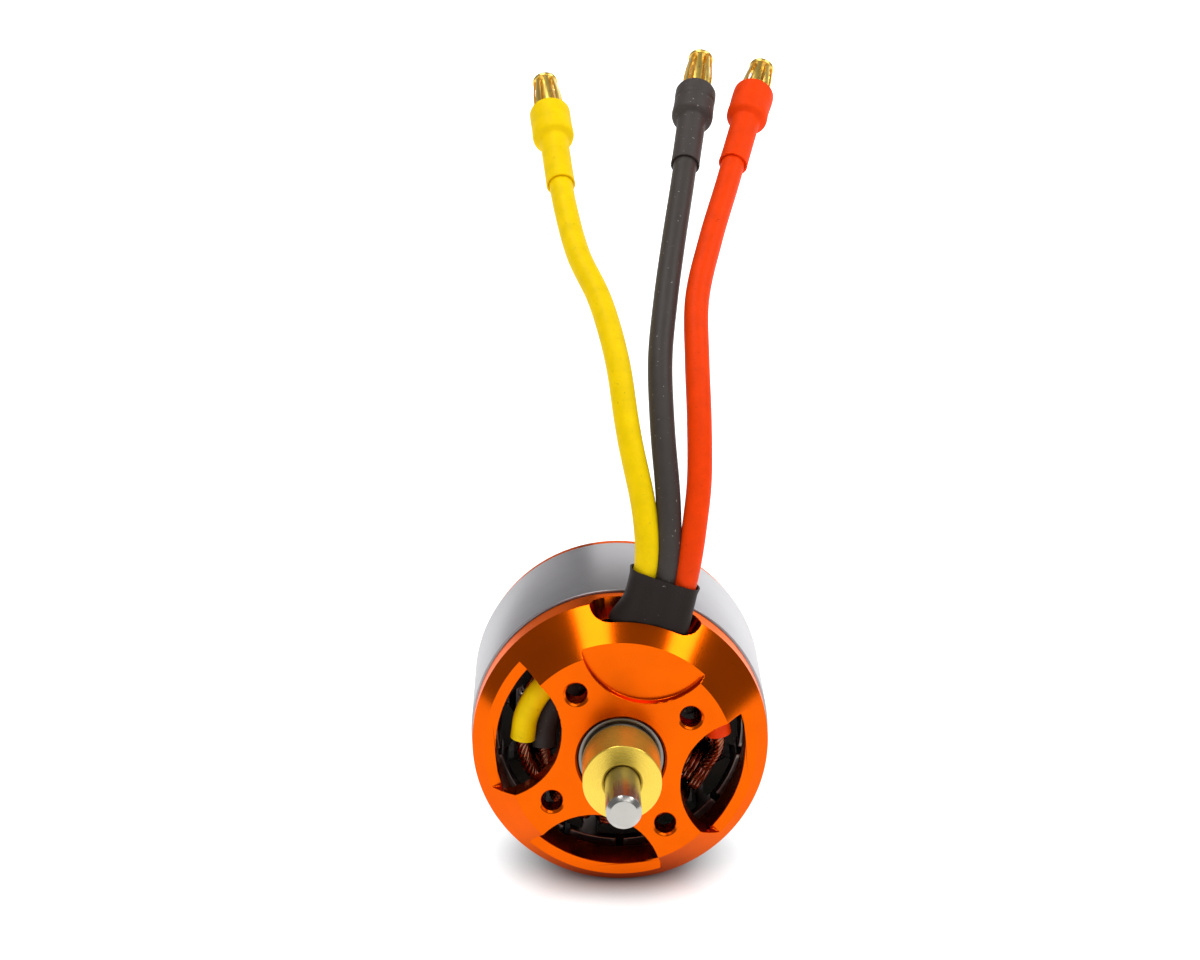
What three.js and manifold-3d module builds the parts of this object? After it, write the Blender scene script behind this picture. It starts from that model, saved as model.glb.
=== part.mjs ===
// Brushless outrunner motor, 35 mm class, with three stub leads and bullet connectors.
// Millimetres. The motor axis is Y: the mounting face lies in the plane y = 0 and looks
// towards -Y, the rotor is behind it towards +Y, and +Z is the side where the leads leave.
import * as THREE from 'three';
import * as BufferGeometryUtils from 'three/addons/utils/BufferGeometryUtils.js';
import Module from 'manifold-3d';

const wasm = await Module();
wasm.setup();

// ---- driving dimensions -------------------------------------------------------------
const clocking = THREE.MathUtils.degToRad(-12.4); // how far the hole pattern is turned about the axis
const roundSteps = 48;          // facets round a large turned part
const smallSteps = 24;          // facets round a small turned part

const canRadius = 17.5;         // steel flux ring, outside
const canWall = 1.2;
const canFront = 9.4;
const canRear = 27.7;

const baseRadius = 17.3;        // fixed base, outside
const faceRadius = 13.0;        // flat mounting face
const chamferDepth = 5.8;       // axial depth of the conical chamfer
const baseDepth = 9.0;
const cavityRadius = 14.5;
const faceThickness = 3.0;
const holeCircleRadius = 9.5;   // four M3 holes on a 19 mm circle
const tappedHoleRadius = 1.25;
const countersink = 0.3;
const pocketCutterRadius = 8.0; // four scallops milled round the face
const pocketCentre = 15.2;
const windowDepth = 3.8;
const padDepth = 1.1;
const slotY = 5.65;             // lead slot through the chamfer
const slotHalfWidth = 2.15;
const slotMiddle = THREE.MathUtils.degToRad(79.5);  // from +X towards +Z
const slotHalfAngle = THREE.MathUtils.degToRad(14.6);

const tubeRadius = 6.2;         // bearing tube
const tubeRear = 24.4;
const tubeBore = 4.4;
const bearingRadius = 5.0;      // 4 x 10 x 4 mm ball bearings
const bearingWidth = 4.0;
const bearingSeatGap = 0.05;
const frontBearingY = 0.4;
const rearBearingY = tubeRear - bearingWidth;
const ballRadius = 0.7;
const ballCircle = 3.55;
const ballCount = 8;

const shaftRadius = 2.0;
const shaftTip = -16.3;
const shaftRear = 30.9;
const collarRadius = 4.5;
const collarFront = -7.3;
const collarRear = -0.6;

const toothCount = 12;
const statorRadius = 14.0;
const stackFront = 12.0;
const stackRear = 22.0;
const toothWidth = 2.5;
const coilInner = 8.3;
const coilOuter = 12.3;
const coilOverhang = 2.8;       // end winding beyond the stack

const magnetCount = 14;
const magnetInner = 14.35;
const magnetOuter = 16.2;
const magnetFront = 11.0;
const magnetRear = 23.5;
const magnetSpan = THREE.MathUtils.degToRad(22.4);

const bellRadius = 17.2;
const bellRear = 31.0;
const bellWeb = 2.2;            // thickness of the spoked disc
const bellHubRadius = 5.6;
const spokeCount = 6;

const leadRadius = 1.45;        // 16 AWG silicone wire
const leadSpacing = 3.0;
const leadY = 5.4;              // height of the leads where they pass the slot
const sleeveOffset = 0.65;      // middle lead, sideways from the line that leaves through the pad
const sleeveInner = 15.2;
const sleeveOuter = 21.2;
const sleeveWall = 0.2;
const jointGap = 0.3;           // between parts that meet face to face on a lead
const bulletRadius = 1.75;
const bootLength = 13.3;
const tailRadius = 0.8;

// ---- helpers --------------------------------------------------------------------------
const axisY = new THREE.Vector3(0, 1, 0);
const up = new THREE.Vector3(Math.sin(-clocking), 0, Math.cos(clocking)); // the way the leads leave
const side = new THREE.Vector3(Math.cos(clocking), 0, Math.sin(clocking));

// A closed, outward-facing geometry with shared vertices and no slivers of zero area.
function closed(geometry) {
  const bare = geometry.clone();
  for (const name of Object.keys(bare.attributes)) {
    if (name !== 'position') bare.deleteAttribute(name);
  }
  const merged = BufferGeometryUtils.mergeVertices(bare, 1e-4);
  const index = merged.index.array;
  const kept = [];
  for (let i = 0; i < index.length; i += 3) {
    const [a, b, c] = [index[i], index[i + 1], index[i + 2]];
    if (a !== b && b !== c && c !== a) kept.push(a, b, c);
  }
  const p = merged.attributes.position;
  const [va, vb, vc] = [new THREE.Vector3(), new THREE.Vector3(), new THREE.Vector3()];
  let volume = 0;
  for (let i = 0; i < kept.length; i += 3) {
    va.fromBufferAttribute(p, kept[i]);
    vb.fromBufferAttribute(p, kept[i + 1]);
    vc.fromBufferAttribute(p, kept[i + 2]);
    volume += va.dot(vb.cross(vc));
  }
  if (volume < 0) {
    for (let i = 0; i < kept.length; i += 3) [kept[i], kept[i + 1]] = [kept[i + 1], kept[i]];
  }
  merged.setIndex(kept);
  return merged;
}

function solid(geometry) {
  const g = closed(geometry);
  return new wasm.Manifold(new wasm.Mesh({
    numProp: 3,
    vertProperties: new Float32Array(g.attributes.position.array),
    triVerts: new Uint32Array(g.index.array),
  }));
}

function fromSolid(body) {
  const mesh = body.getMesh();
  const g = new THREE.BufferGeometry();
  g.setAttribute('position', new THREE.BufferAttribute(new Float32Array(mesh.vertProperties), 3));
  g.setIndex(Array.from(mesh.triVerts));
  return g;
}

// Ring or disc turned about the motor axis from a closed outline of [radius, y] pairs.
function turned(outline, steps = roundSteps) {
  const points = outline.map(([r, y]) => new THREE.Vector2(r, y));
  points.push(points[0].clone());
  return new THREE.LatheGeometry(points, steps);
}

function ring(inner, outer, y0, y1, chamfer = 0, steps = roundSteps) {
  const c = chamfer;
  if (c === 0) return turned([[inner, y0], [outer, y0], [outer, y1], [inner, y1]], steps);
  return turned([[inner, y0], [outer - c, y0], [outer, y0 + c], [outer, y1 - c],
    [outer - c, y1], [inner, y1]], steps);
}

// Shape drawn in the X-Z plane, pushed from y0 to y1.
function alongY(shape, y0, y1, curveSegments = 12) {
  const g = new THREE.ExtrudeGeometry(shape, { depth: y1 - y0, bevelEnabled: false, curveSegments });
  return g.rotateX(Math.PI / 2).translate(0, y1, 0);
}

// A cylinder along Y, centred at an angle and radius from the motor axis.
function peg(radius, y0, y1, angle, distance, steps = 16, farRadius = radius) {
  const g = new THREE.CylinderGeometry(farRadius, radius, y1 - y0, steps);
  return g.translate(distance * Math.cos(angle), (y0 + y1) / 2, distance * Math.sin(angle));
}

// A cylinder that runs outwards from the motor axis at an angle, between two radii.
function radialPeg(radius, inner, outer, angle, y, steps = 12) {
  const g = new THREE.CylinderGeometry(radius, radius, outer - inner, steps);
  g.rotateZ(-Math.PI / 2).translate((inner + outer) / 2, 0, 0).rotateY(-angle);
  return g.translate(0, y, 0);
}

function sector(inner, outer, halfAngle, centre, steps) {
  const shape = new THREE.Shape();
  shape.absarc(0, 0, outer, centre - halfAngle, centre + halfAngle, false);
  shape.absarc(0, 0, inner, centre + halfAngle, centre - halfAngle, true);
  shape.closePath();
  return { shape, steps };
}

const group = new THREE.Group();
const finishes = {
  orangeAluminium: { color: 0xff6a00, roughness: 0.32, metalness: 0.9 },
  canSteel: { color: 0x9a9694, roughness: 0.38, metalness: 0.9 },
  brightSteel: { color: 0xc9c9c6, roughness: 0.22, metalness: 1.0 },
  blackSteel: { color: 0x2a2a2c, roughness: 0.45, metalness: 0.8 },
  brass: { color: 0xd8bd72, roughness: 0.3, metalness: 1.0 },
  gold: { color: 0xe8c04a, roughness: 0.18, metalness: 1.0 },
  nickel: { color: 0x8f8c88, roughness: 0.3, metalness: 1.0 },
  laminations: { color: 0x5b5750, roughness: 0.55, metalness: 0.7 },
  insulation: { color: 0x1f3f30, roughness: 0.6, metalness: 0.0 },
  copper: { color: 0xb5562a, roughness: 0.35, metalness: 0.9 },
  yellowSilicone: { color: 0xffde00, roughness: 0.5, metalness: 0.0 },
  blackSilicone: { color: 0x55504e, roughness: 0.5, metalness: 0.0 },
  redSilicone: { color: 0xff4010, roughness: 0.5, metalness: 0.0 },
  heatShrink: { color: 0x2b211e, roughness: 0.55, metalness: 0.0 },
};

function part(name, geometry, finish) {
  const mesh = new THREE.Mesh(closed(geometry), new THREE.MeshStandardMaterial(finishes[finish]));
  mesh.name = name;
  group.add(mesh);
}

// ---- fixed side: base, bearings, stator -------------------------------------------------
function mountBase() {
  const seat = bearingRadius + bearingSeatGap;
  const lip = 0.25;
  const fillet = 1.0;
  let body = solid(turned([
    [seat + lip, 0], [faceRadius, 0], [baseRadius, chamferDepth], [baseRadius, baseDepth],
    [cavityRadius, baseDepth], [cavityRadius, faceThickness], [tubeRadius + fillet, faceThickness],
    [tubeRadius, faceThickness + fillet], [tubeRadius, tubeRear], [seat, tubeRear],
    [seat, rearBearingY - bearingSeatGap], [tubeBore, rearBearingY - bearingSeatGap],
    [tubeBore, frontBearingY + bearingWidth + bearingSeatGap],
    [seat, frontBearingY + bearingWidth + bearingSeatGap], [seat, lip],
  ]));
  const above = -1;
  for (let i = 0; i < 4; i++) {
    const angle = clocking + i * Math.PI / 2;
    const depth = i === 1 ? padDepth : windowDepth;
    body = body.subtract(solid(peg(pocketCutterRadius, above, depth, angle, pocketCentre, 40)));
    const holeAngle = angle + Math.PI / 4;
    body = body.subtract(solid(peg(tappedHoleRadius, above, faceThickness + 1, holeAngle, holeCircleRadius)));
    const mouth = peg(tappedHoleRadius + 2 * countersink, -countersink, countersink, holeAngle,
      holeCircleRadius, 16, tappedHoleRadius);
    body = body.subtract(solid(mouth));
  }
  return fromSolid(body.subtract(leadSlot()));
}

// A milled slot with round ends, cut inwards through the chamfer.
function leadSlot() {
  const inner = 13.0;
  const outer = baseRadius + 1.5;
  const { shape, steps } = sector(inner, outer, slotHalfAngle, slotMiddle, 5);
  let cutter = solid(alongY(shape, slotY - slotHalfWidth, slotY + slotHalfWidth, steps));
  for (const end of [-1, 1]) {
    const angle = slotMiddle + end * slotHalfAngle;
    cutter = cutter.add(solid(radialPeg(slotHalfWidth, inner - 0.3, outer, angle, slotY)));
  }
  return cutter;
}

// Shielded ball bearing: outer ring with its shields, inner ring, and the balls in their cage.
function bearing(place, y0) {
  const y1 = y0 + bearingWidth;
  const shield = 0.25;
  const shieldReach = 3.05;
  const raceOut = ballCircle + ballRadius + 0.06;
  const raceIn = ballCircle - ballRadius - 0.06;
  const bevel = 0.3;
  part(`${place}_bearing_outer_ring`, turned([
    [shieldReach, y0], [bearingRadius - bevel, y0], [bearingRadius, y0 + bevel],
    [bearingRadius, y1 - bevel], [bearingRadius - bevel, y1], [shieldReach, y1],
    [shieldReach, y1 - shield], [raceOut, y1 - shield], [raceOut, y0 + shield],
    [shieldReach, y0 + shield],
  ], smallSteps), 'brightSteel');
  part(`${place}_bearing_inner_ring`, ring(shaftRadius + 0.04, raceIn, y0, y1, 0.15, smallSteps),
    'brightSteel');
  const middle = (y0 + y1) / 2;
  let cage = solid(ring(ballCircle - 0.25, ballCircle + 0.25, middle - 0.5, middle + 0.5, 0, smallSteps));
  for (let i = 0; i < ballCount; i++) {
    const angle = i * 2 * Math.PI / ballCount;
    const ball = new THREE.SphereGeometry(ballRadius, 8, 5);
    ball.translate(ballCircle * Math.cos(angle), middle, ballCircle * Math.sin(angle));
    cage = cage.add(solid(ball));
  }
  part(`${place}_bearing_ball_cage`, fromSolid(cage), 'brass');
}

// Outline of the slotted stack: a hub, straight teeth and wide tooth tips.
function statorShape(hub, tipHalfAngle, reach, toothHalf) {
  const shape = new THREE.Shape();
  const tipRoot = reach - 1.1;
  for (let i = 0; i < toothCount; i++) {
    const centre = i * 2 * Math.PI / toothCount;
    const at = (r, a) => [r * Math.cos(centre + a), r * Math.sin(centre + a)];
    const hubHalf = Math.asin(toothHalf / hub);
    const neckHalf = Math.asin(toothHalf / (tipRoot - 0.5));
    if (i === 0) shape.moveTo(...at(hub, -hubHalf));
    else shape.lineTo(...at(hub, -hubHalf));
    shape.lineTo(...at(tipRoot - 0.5, -neckHalf));
    shape.lineTo(...at(tipRoot + 0.4, -tipHalfAngle));
    for (let k = -2; k <= 2; k++) shape.lineTo(...at(reach, k / 2 * tipHalfAngle));
    shape.lineTo(...at(tipRoot + 0.4, tipHalfAngle));
    shape.lineTo(...at(tipRoot - 0.5, neckHalf));
    shape.lineTo(...at(hub, hubHalf));
  }
  shape.closePath();
  const bore = new THREE.Path();
  bore.absarc(0, 0, tubeRadius + 0.1, 0, 2 * Math.PI, true);
  shape.holes.push(bore);
  return shape;
}

function stator() {
  const tip = THREE.MathUtils.degToRad(11.2);
  const gap = 0.05;
  const sheet = 0.5;
  part('stator_core', alongY(statorShape(7.9, tip, statorRadius, toothWidth / 2), stackFront, stackRear),
    'laminations');
  const cover = statorShape(7.9, tip, statorRadius, toothWidth / 2);
  part('stator_insulator_front', alongY(cover, stackFront - gap - sheet, stackFront - gap), 'insulation');
  part('stator_insulator_rear', alongY(cover, stackRear + gap, stackRear + gap + sheet), 'insulation');
}

// One phase coil wound round one tooth: a wedge-shaped loop.
function coil(index) {
  const [innerHalf, outerHalf] = [1.95, 3.05];
  const wedge = new THREE.Shape([
    new THREE.Vector2(coilInner, -innerHalf), new THREE.Vector2(coilOuter, -outerHalf),
    new THREE.Vector2(coilOuter, outerHalf), new THREE.Vector2(coilInner, innerHalf),
  ]);
  const windowFront = stackFront - 0.65;
  const windowRear = stackRear + 0.65;
  const outside = alongY(wedge, stackFront - coilOverhang, stackRear + coilOverhang);
  const tooth = new THREE.BoxGeometry(coilOuter - coilInner + 2, windowRear - windowFront, toothWidth + 0.3);
  tooth.translate((coilInner + coilOuter) / 2, (windowFront + windowRear) / 2, 0);
  const loop = fromSolid(solid(outside).subtract(solid(tooth)));
  loop.rotateY(-index * 2 * Math.PI / toothCount);
  part(`coil_${String(index + 1).padStart(2, '0')}`, loop, 'copper');
}

// ---- turning side: can, magnets, bell, shaft -------------------------------------------
function rotor() {
  const inner = canRadius - canWall;
  part('rotor_can', turned([
    [inner, canFront], [canRadius - 0.3, canFront], [canRadius, canFront + 0.3],
    [canRadius, canRear], [inner, canRear],
  ]), 'canSteel');
  for (let i = 0; i < magnetCount; i++) {
    const centre = i * 2 * Math.PI / magnetCount;
    const { shape, steps } = sector(magnetInner, magnetOuter, magnetSpan / 2, centre, 5);
    part(`magnet_${String(i + 1).padStart(2, '0')}`, alongY(shape, magnetFront, magnetRear, steps), 'nickel');
  }
}

function bell() {
  const seam = canRear + 0.05;
  const spigot = canRadius - canWall - 0.05;
  const webFront = bellRear - bellWeb;
  const hubFront = 25.4;
  const bore = shaftRadius + 0.04;
  let body = solid(turned([
    [bore, hubFront], [bellHubRadius, hubFront], [bellHubRadius, webFront], [14.6, webFront],
    [14.6, canRear - 1.5], [spigot, canRear - 1.5], [spigot, seam], [bellRadius, seam],
    [bellRadius, bellRear - 1.4], [bellRadius - 1.4, bellRear], [bore, bellRear],
  ]));
  const [windowInner, windowOuter, windowHalf] = [7.6, 13.8, THREE.MathUtils.degToRad(20)];
  for (let i = 0; i < spokeCount; i++) {
    const { shape, steps } = sector(windowInner, windowOuter, windowHalf, i * 2 * Math.PI / spokeCount, 4);
    body = body.subtract(solid(alongY(shape, webFront - 1, bellRear + 1, steps)));
  }
  for (const angle of bellScrewAngles) {
    body = body.subtract(solid(radialPeg(bellScrewRadius + 0.05, 1, bellHubRadius + 1, angle, bellScrewY)));
  }
  part('rotor_bell', fromSolid(body), 'orangeAluminium');
}

const bellScrewRadius = 1.45;
const bellScrewY = 27.1;
const bellScrewAngles = [0, Math.PI / 2];
const collarScrewY = -4.0;
const collarScrewAngle = -Math.PI / 2;

function shaftGroup() {
  const bevel = 0.5;
  part('shaft', turned([
    [0, shaftTip], [shaftRadius - bevel, shaftTip], [shaftRadius, shaftTip + bevel],
    [shaftRadius, shaftRear - bevel], [shaftRadius - bevel, shaftRear], [0, shaftRear],
  ], smallSteps), 'brightSteel');
  const collar = solid(turned([
    [shaftRadius + 0.25, collarFront], [collarRadius - 0.2, collarFront], [collarRadius, collarFront + 0.2],
    [collarRadius, collarRear - 0.2], [collarRadius - 0.2, collarRear], [shaftRadius + 0.04, collarRear],
    [shaftRadius + 0.04, collarFront + 0.25],
  ], smallSteps));
  const hole = solid(radialPeg(bellScrewRadius + 0.05, 1, collarRadius + 1, collarScrewAngle, collarScrewY));
  part('shaft_collar', fromSolid(collar.subtract(hole)), 'brass');
  part('shaft_spacer', ring(shaftRadius + 0.04, 2.9, collarRear + 0.05, frontBearingY - 0.05, 0, smallSteps),
    'brightSteel');
  setScrew('collar_set_screw', collarScrewAngle, collarScrewY, collarRadius - 0.2);
  bellScrewAngles.forEach((angle, i) => {
    setScrew(`bell_set_screw_${i + 1}`, angle, bellScrewY, bellHubRadius - 0.3);
  });
}

// Headless screw with a hexagon socket, pointing at the shaft.
function setScrew(name, angle, y, outer) {
  const body = solid(radialPeg(bellScrewRadius, shaftRadius + 0.1, outer, angle, y));
  const socket = solid(radialPeg(0.85, outer - 1.4, outer + 1, angle, y, 6));
  part(name, fromSolid(body.subtract(socket)), 'blackSteel');
}

// ---- leads ------------------------------------------------------------------------------
// Each route starts where the winding is soldered on, passes the slot and ends at the boot.
const routes = {
  yellow: [
    [-11.4, 5.2, 0.8], [-10.9, 5.0, 3.8], [-9.2, 4.8, 6.9], [-6.2, 5.0, 9.3], [-3.0, 5.3, 10.7],
    [-0.8, 5.4, 12.0], [0.5, 5.4, 13.8], [1.1, 5.4, 15.94], [1.74, 5.4, 18.87], [2.34, 5.4, 21.6],
    [2.45, 5.6, 23.7], [2.35, 6.4, 26.5], [2.1, 7.6, 29.4], [1.6, 9.0, 32.8], [0.8, 11.5, 37.3],
    [-0.2, 16.2, 43.3], [-2.1, 22.8, 48.9], [-4.6, 29.2, 53.0], [-6.1, 36.0, 57.2], [-6.7, 40.1, 59.6],
  ],
  black: [
    [-8.9, 6.7, -0.8], [-8.8, 7.0, 1.6], [-7.8, 7.3, 4.4], [-5.9, 7.5, 6.7], [-3.1, 7.5, 8.0],
    [-0.3, 7.0, 8.6], [1.9, 6.1, 9.9], [3.1, 5.6, 11.6], [3.6, 5.4, 13.5], [4.03, 5.4, 15.3],
    [4.67, 5.4, 18.23], [5.27, 5.4, 20.96], [5.45, 5.7, 23.3], [5.45, 6.8, 27.2], [5.3, 8.5, 31.4],
    [4.9, 11.5, 37.3], [4.8, 16.2, 43.3], [5.6, 22.5, 49.0], [6.8, 30.5, 54.5], [7.9, 37.6, 58.8],
    [8.6, 42.3, 61.6],
  ],
  red: [
    [11.5, 5.2, 1.2], [10.9, 5.0, 4.2], [9.6, 4.9, 6.8], [7.9, 5.0, 8.9], [6.7, 5.3, 10.8],
    [6.5, 5.4, 12.6], [6.96, 5.4, 14.65], [7.6, 5.4, 17.58], [8.2, 5.4, 20.32], [8.55, 5.6, 22.7],
    [8.85, 6.6, 26.6], [9.15, 8.3, 31.0], [9.2, 11.5, 37.3], [9.1, 16.1, 43.2], [9.3, 22.5, 49.0],
    [11.2, 30.6, 54.5], [13.5, 39.0, 59.4], [14.5, 42.7, 61.6],
  ],
};
const bulletTips = { yellow: [-8.7, 57.3, 69.6], black: [11.2, 59.9, 72.1], red: [18.9, 58.7, 71.1] };
const leadSteps = 27;

function tube(points, radius, steps, sides) {
  const path = new THREE.CatmullRomCurve3(points.map((p) => new THREE.Vector3(...p)), false, 'centripetal');
  const section = new THREE.Shape();
  for (let i = 0; i < sides; i++) {
    const angle = i * 2 * Math.PI / sides;
    const [x, y] = [radius * Math.cos(angle), radius * Math.sin(angle)];
    if (i === 0) section.moveTo(x, y);
    else section.lineTo(x, y);
  }
  section.closePath();
  return new THREE.ExtrudeGeometry(section, { steps, extrudePath: path, bevelEnabled: false });
}

// Turned outline placed on a lead's end, its own axis running from one point to another.
function onAxis(geometry, from, direction) {
  const turn = new THREE.Quaternion().setFromUnitVectors(axisY, direction);
  return geometry.applyQuaternion(turn).translate(from.x, from.y, from.z);
}

function lead(colour) {
  const points = routes[colour];
  part(`lead_${colour}`, tube(points, leadRadius, leadSteps, 8), `${colour}Silicone`);
  const end = new THREE.Vector3(...points[points.length - 1]);
  const tip = new THREE.Vector3(...bulletTips[colour]);
  const direction = tip.clone().sub(end).normalize();
  const [narrow, wide, shoulder] = [1.75, 2.55, 7.8];
  const boot = turned([
    [0, 0], [narrow, 0], [narrow, shoulder - 0.4], [wide, shoulder + 0.3], [wide, bootLength - 0.3],
    [wide - 0.3, bootLength], [0, bootLength],
  ], 12);
  const bootStart = end.clone().addScaledVector(direction, jointGap);
  part(`boot_${colour}`, onAxis(boot, bootStart, direction), `${colour}Silicone`);
  const bulletStart = bootStart.clone().addScaledVector(direction, bootLength + jointGap);
  const length = tip.distanceTo(bulletStart);
  const [neck, cap] = [1.3, 1.45];
  const bullet = turned([
    [0, 0], [bulletRadius, 0], [bulletRadius, length * 0.3], [neck, length - 0.9], [cap, length - 0.7],
    [cap, length - 0.4], [cap - 0.7, length], [0, length],
  ], 12);
  part(`bullet_${colour}`, onAxis(bullet, bulletStart, direction), 'gold');
}

// Copper strands that join each lead to the windings behind it.
const tails = {
  yellow: [[-11.4, 5.3, 0.3], [-11.1, 6.0, -2.0], [-10.5, 7.2, -4.0], [-9.8, 8.6, -5.4]],
  black: [[-8.9, 6.7, -1.3], [-8.8, 7.1, -2.8], [-8.4, 7.8, -4.2], [-7.8, 8.6, -5.4]],
  red: [[11.5, 5.3, 0.7], [11.4, 6.2, -1.0], [10.9, 7.4, -2.6], [10.1, 8.6, -4.2]],
};

// Flat heat-shrink sleeve that holds the three leads side by side where they pass the slot.
function leadSleeve() {
  const inner = leadRadius + 0.1;
  const oval = (half) => {
    const path = new THREE.Path();
    path.absarc(-leadSpacing, 0, half, Math.PI / 2, 1.5 * Math.PI, false);
    path.absarc(leadSpacing, 0, half, -Math.PI / 2, Math.PI / 2, false);
    path.closePath();
    return path;
  };
  const shape = new THREE.Shape(oval(inner + sleeveWall).getPoints(6));
  shape.holes.push(new THREE.Path(oval(inner).getPoints(6)));
  const g = new THREE.ExtrudeGeometry(shape, { depth: sleeveOuter - sleeveInner, bevelEnabled: false });
  g.applyMatrix4(new THREE.Matrix4().makeBasis(side, axisY, up));
  const start = up.clone().multiplyScalar(sleeveInner).addScaledVector(side, sleeveOffset);
  part('lead_sleeve', g.translate(start.x, leadY, start.z), 'heatShrink');
}

// ---- assembly -----------------------------------------------------------------------------
part('mount_base', mountBase(), 'orangeAluminium');
bearing('front', frontBearingY);
bearing('rear', rearBearingY);
stator();
for (let i = 0; i < toothCount; i++) coil(i);
for (const colour of Object.keys(routes)) {
  lead(colour);
  part(`winding_tail_${colour}`, tube(tails[colour], tailRadius, 5, 8), 'copper');
}
leadSleeve();
rotor();
bell();
shaftGroup();

export default group;
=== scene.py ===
import math
import random

import bmesh
import bpy
from mathutils import Matrix, Vector, noise
from mathutils.geometry import intersect_point_line


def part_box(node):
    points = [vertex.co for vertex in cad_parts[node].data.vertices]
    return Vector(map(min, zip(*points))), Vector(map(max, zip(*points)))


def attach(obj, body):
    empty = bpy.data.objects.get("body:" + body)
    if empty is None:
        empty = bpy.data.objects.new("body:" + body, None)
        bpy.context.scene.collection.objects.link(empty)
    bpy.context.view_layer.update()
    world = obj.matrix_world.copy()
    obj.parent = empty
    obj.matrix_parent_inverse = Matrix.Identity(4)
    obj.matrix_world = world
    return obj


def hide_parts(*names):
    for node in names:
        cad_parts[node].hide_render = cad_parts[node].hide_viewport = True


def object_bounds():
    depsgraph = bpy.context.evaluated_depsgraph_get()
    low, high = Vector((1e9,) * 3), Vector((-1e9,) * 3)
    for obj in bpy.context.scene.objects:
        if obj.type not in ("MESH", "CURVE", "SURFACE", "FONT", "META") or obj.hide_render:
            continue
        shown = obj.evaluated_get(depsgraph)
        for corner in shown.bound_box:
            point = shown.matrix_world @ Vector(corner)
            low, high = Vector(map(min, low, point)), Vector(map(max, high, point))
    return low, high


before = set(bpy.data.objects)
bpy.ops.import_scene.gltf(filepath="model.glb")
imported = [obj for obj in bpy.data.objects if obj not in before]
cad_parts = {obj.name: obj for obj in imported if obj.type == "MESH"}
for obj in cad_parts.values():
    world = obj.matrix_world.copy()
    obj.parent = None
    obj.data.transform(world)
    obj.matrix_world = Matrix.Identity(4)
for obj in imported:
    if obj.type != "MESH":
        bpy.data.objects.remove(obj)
cad_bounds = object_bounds()

# The motor axis is Y, the mounting face is at y = 0 and looks towards -Y, and the leads leave roughly
# towards +Z. Lengths are millimetres, and make_object turns them into metres. The lead and tail routes, the
# shaders and the stage are in metres.
MM = 0.001
COLOURS = ("yellow", "black", "red")


def low(node):
    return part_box(node)[0] / MM


def high(node):
    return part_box(node)[1] / MM


# ---- driving dimensions, the same as the CAD part's -----------------------------------
CLOCKING = math.radians(-12.4)
BASE_RADIUS = high("mount_base").x
TUBE_REAR = high("mount_base").y
CAN_RADIUS = high("rotor_can").x
CAN_FRONT, CAN_REAR = low("rotor_can").y, high("rotor_can").y
CAN_WALL = 1.2
FACE_RADIUS = 13.0
CHAMFER_DEPTH = 5.8
BASE_DEPTH = 9.0
CAVITY_RADIUS = 14.5
FACE_THICKNESS = 3.0
TUBE_RADIUS = 6.2
TUBE_BORE = 4.4
BEARING_SEAT = 5.05
BEARING_FRONT = low("front_bearing_outer_ring").y
BEARING_WIDTH = high("front_bearing_outer_ring").y - BEARING_FRONT
REAR_BEARING = low("rear_bearing_outer_ring").y
HOLE_CIRCLE = 9.5
HOLE_RADIUS = 1.25
POCKET_RADIUS = 8.0
POCKET_CENTRE = 15.2
WINDOW_DEPTH = 3.8
PAD_DEPTH = 1.1
PAD_PLACE = 1           # the pocket on the lead side is a shallow pad, and the other three are windows
SLOT_Y = 5.65
SLOT_HALF_WIDTH = 2.15
SLOT_MIDDLE, SLOT_HALF_ANGLE = math.radians(79.5), math.radians(14.6)
LEAD_Y = 5.4
SHAFT_RADIUS = high("shaft").x
SHAFT_TIP, SHAFT_REAR = low("shaft").y, high("shaft").y
COLLAR_RADIUS = high("shaft_collar").x
COLLAR_FRONT, COLLAR_REAR = low("shaft_collar").y, high("shaft_collar").y
COLLAR_SCREW_Y, COLLAR_SCREW_ANGLE = -4.0, -math.pi / 2
BELL_SCREW_Y, BELL_SCREW_ANGLES = 27.1, (0.0, math.pi / 2)
SCREW_RADIUS = 1.45
BELL_RADIUS = high("rotor_bell").x
BELL_REAR = high("rotor_bell").y
BELL_WEB = 2.2
BELL_HUB_RADIUS = 5.6
STACK_FRONT, STACK_REAR = low("stator_core").y, high("stator_core").y
TOOTH_COUNT = 12
MAGNET_COUNT = 14
MAGNET_INNER, MAGNET_OUTER = 14.35, 16.2
MAGNET_SPAN = math.radians(22.4)
LEAD_RADIUS = 1.45
SLEEVE_OFFSET = 0.65
SLEEVE_INNER, SLEEVE_OUTER = 14.9, 21.2
UP = Vector((math.sin(-CLOCKING), 0, math.cos(CLOCKING)))    # the way the leads leave
SIDE = Vector((math.cos(CLOCKING), 0, math.sin(CLOCKING)))

# ---- camera ------------------------------------------------------------------------------
CAMERA_TARGET = Vector((-1.04, 0.0, 33.55)) * MM
CAMERA_DISTANCE = 346 * MM
CAMERA_AZIMUTH, CAMERA_ELEVATION = math.radians(0.88), math.radians(16.25)
CAMERA_LENS, SENSOR_WIDTH = 92.6, 36
CAMERA_SHIFT = -0.0101


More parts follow.
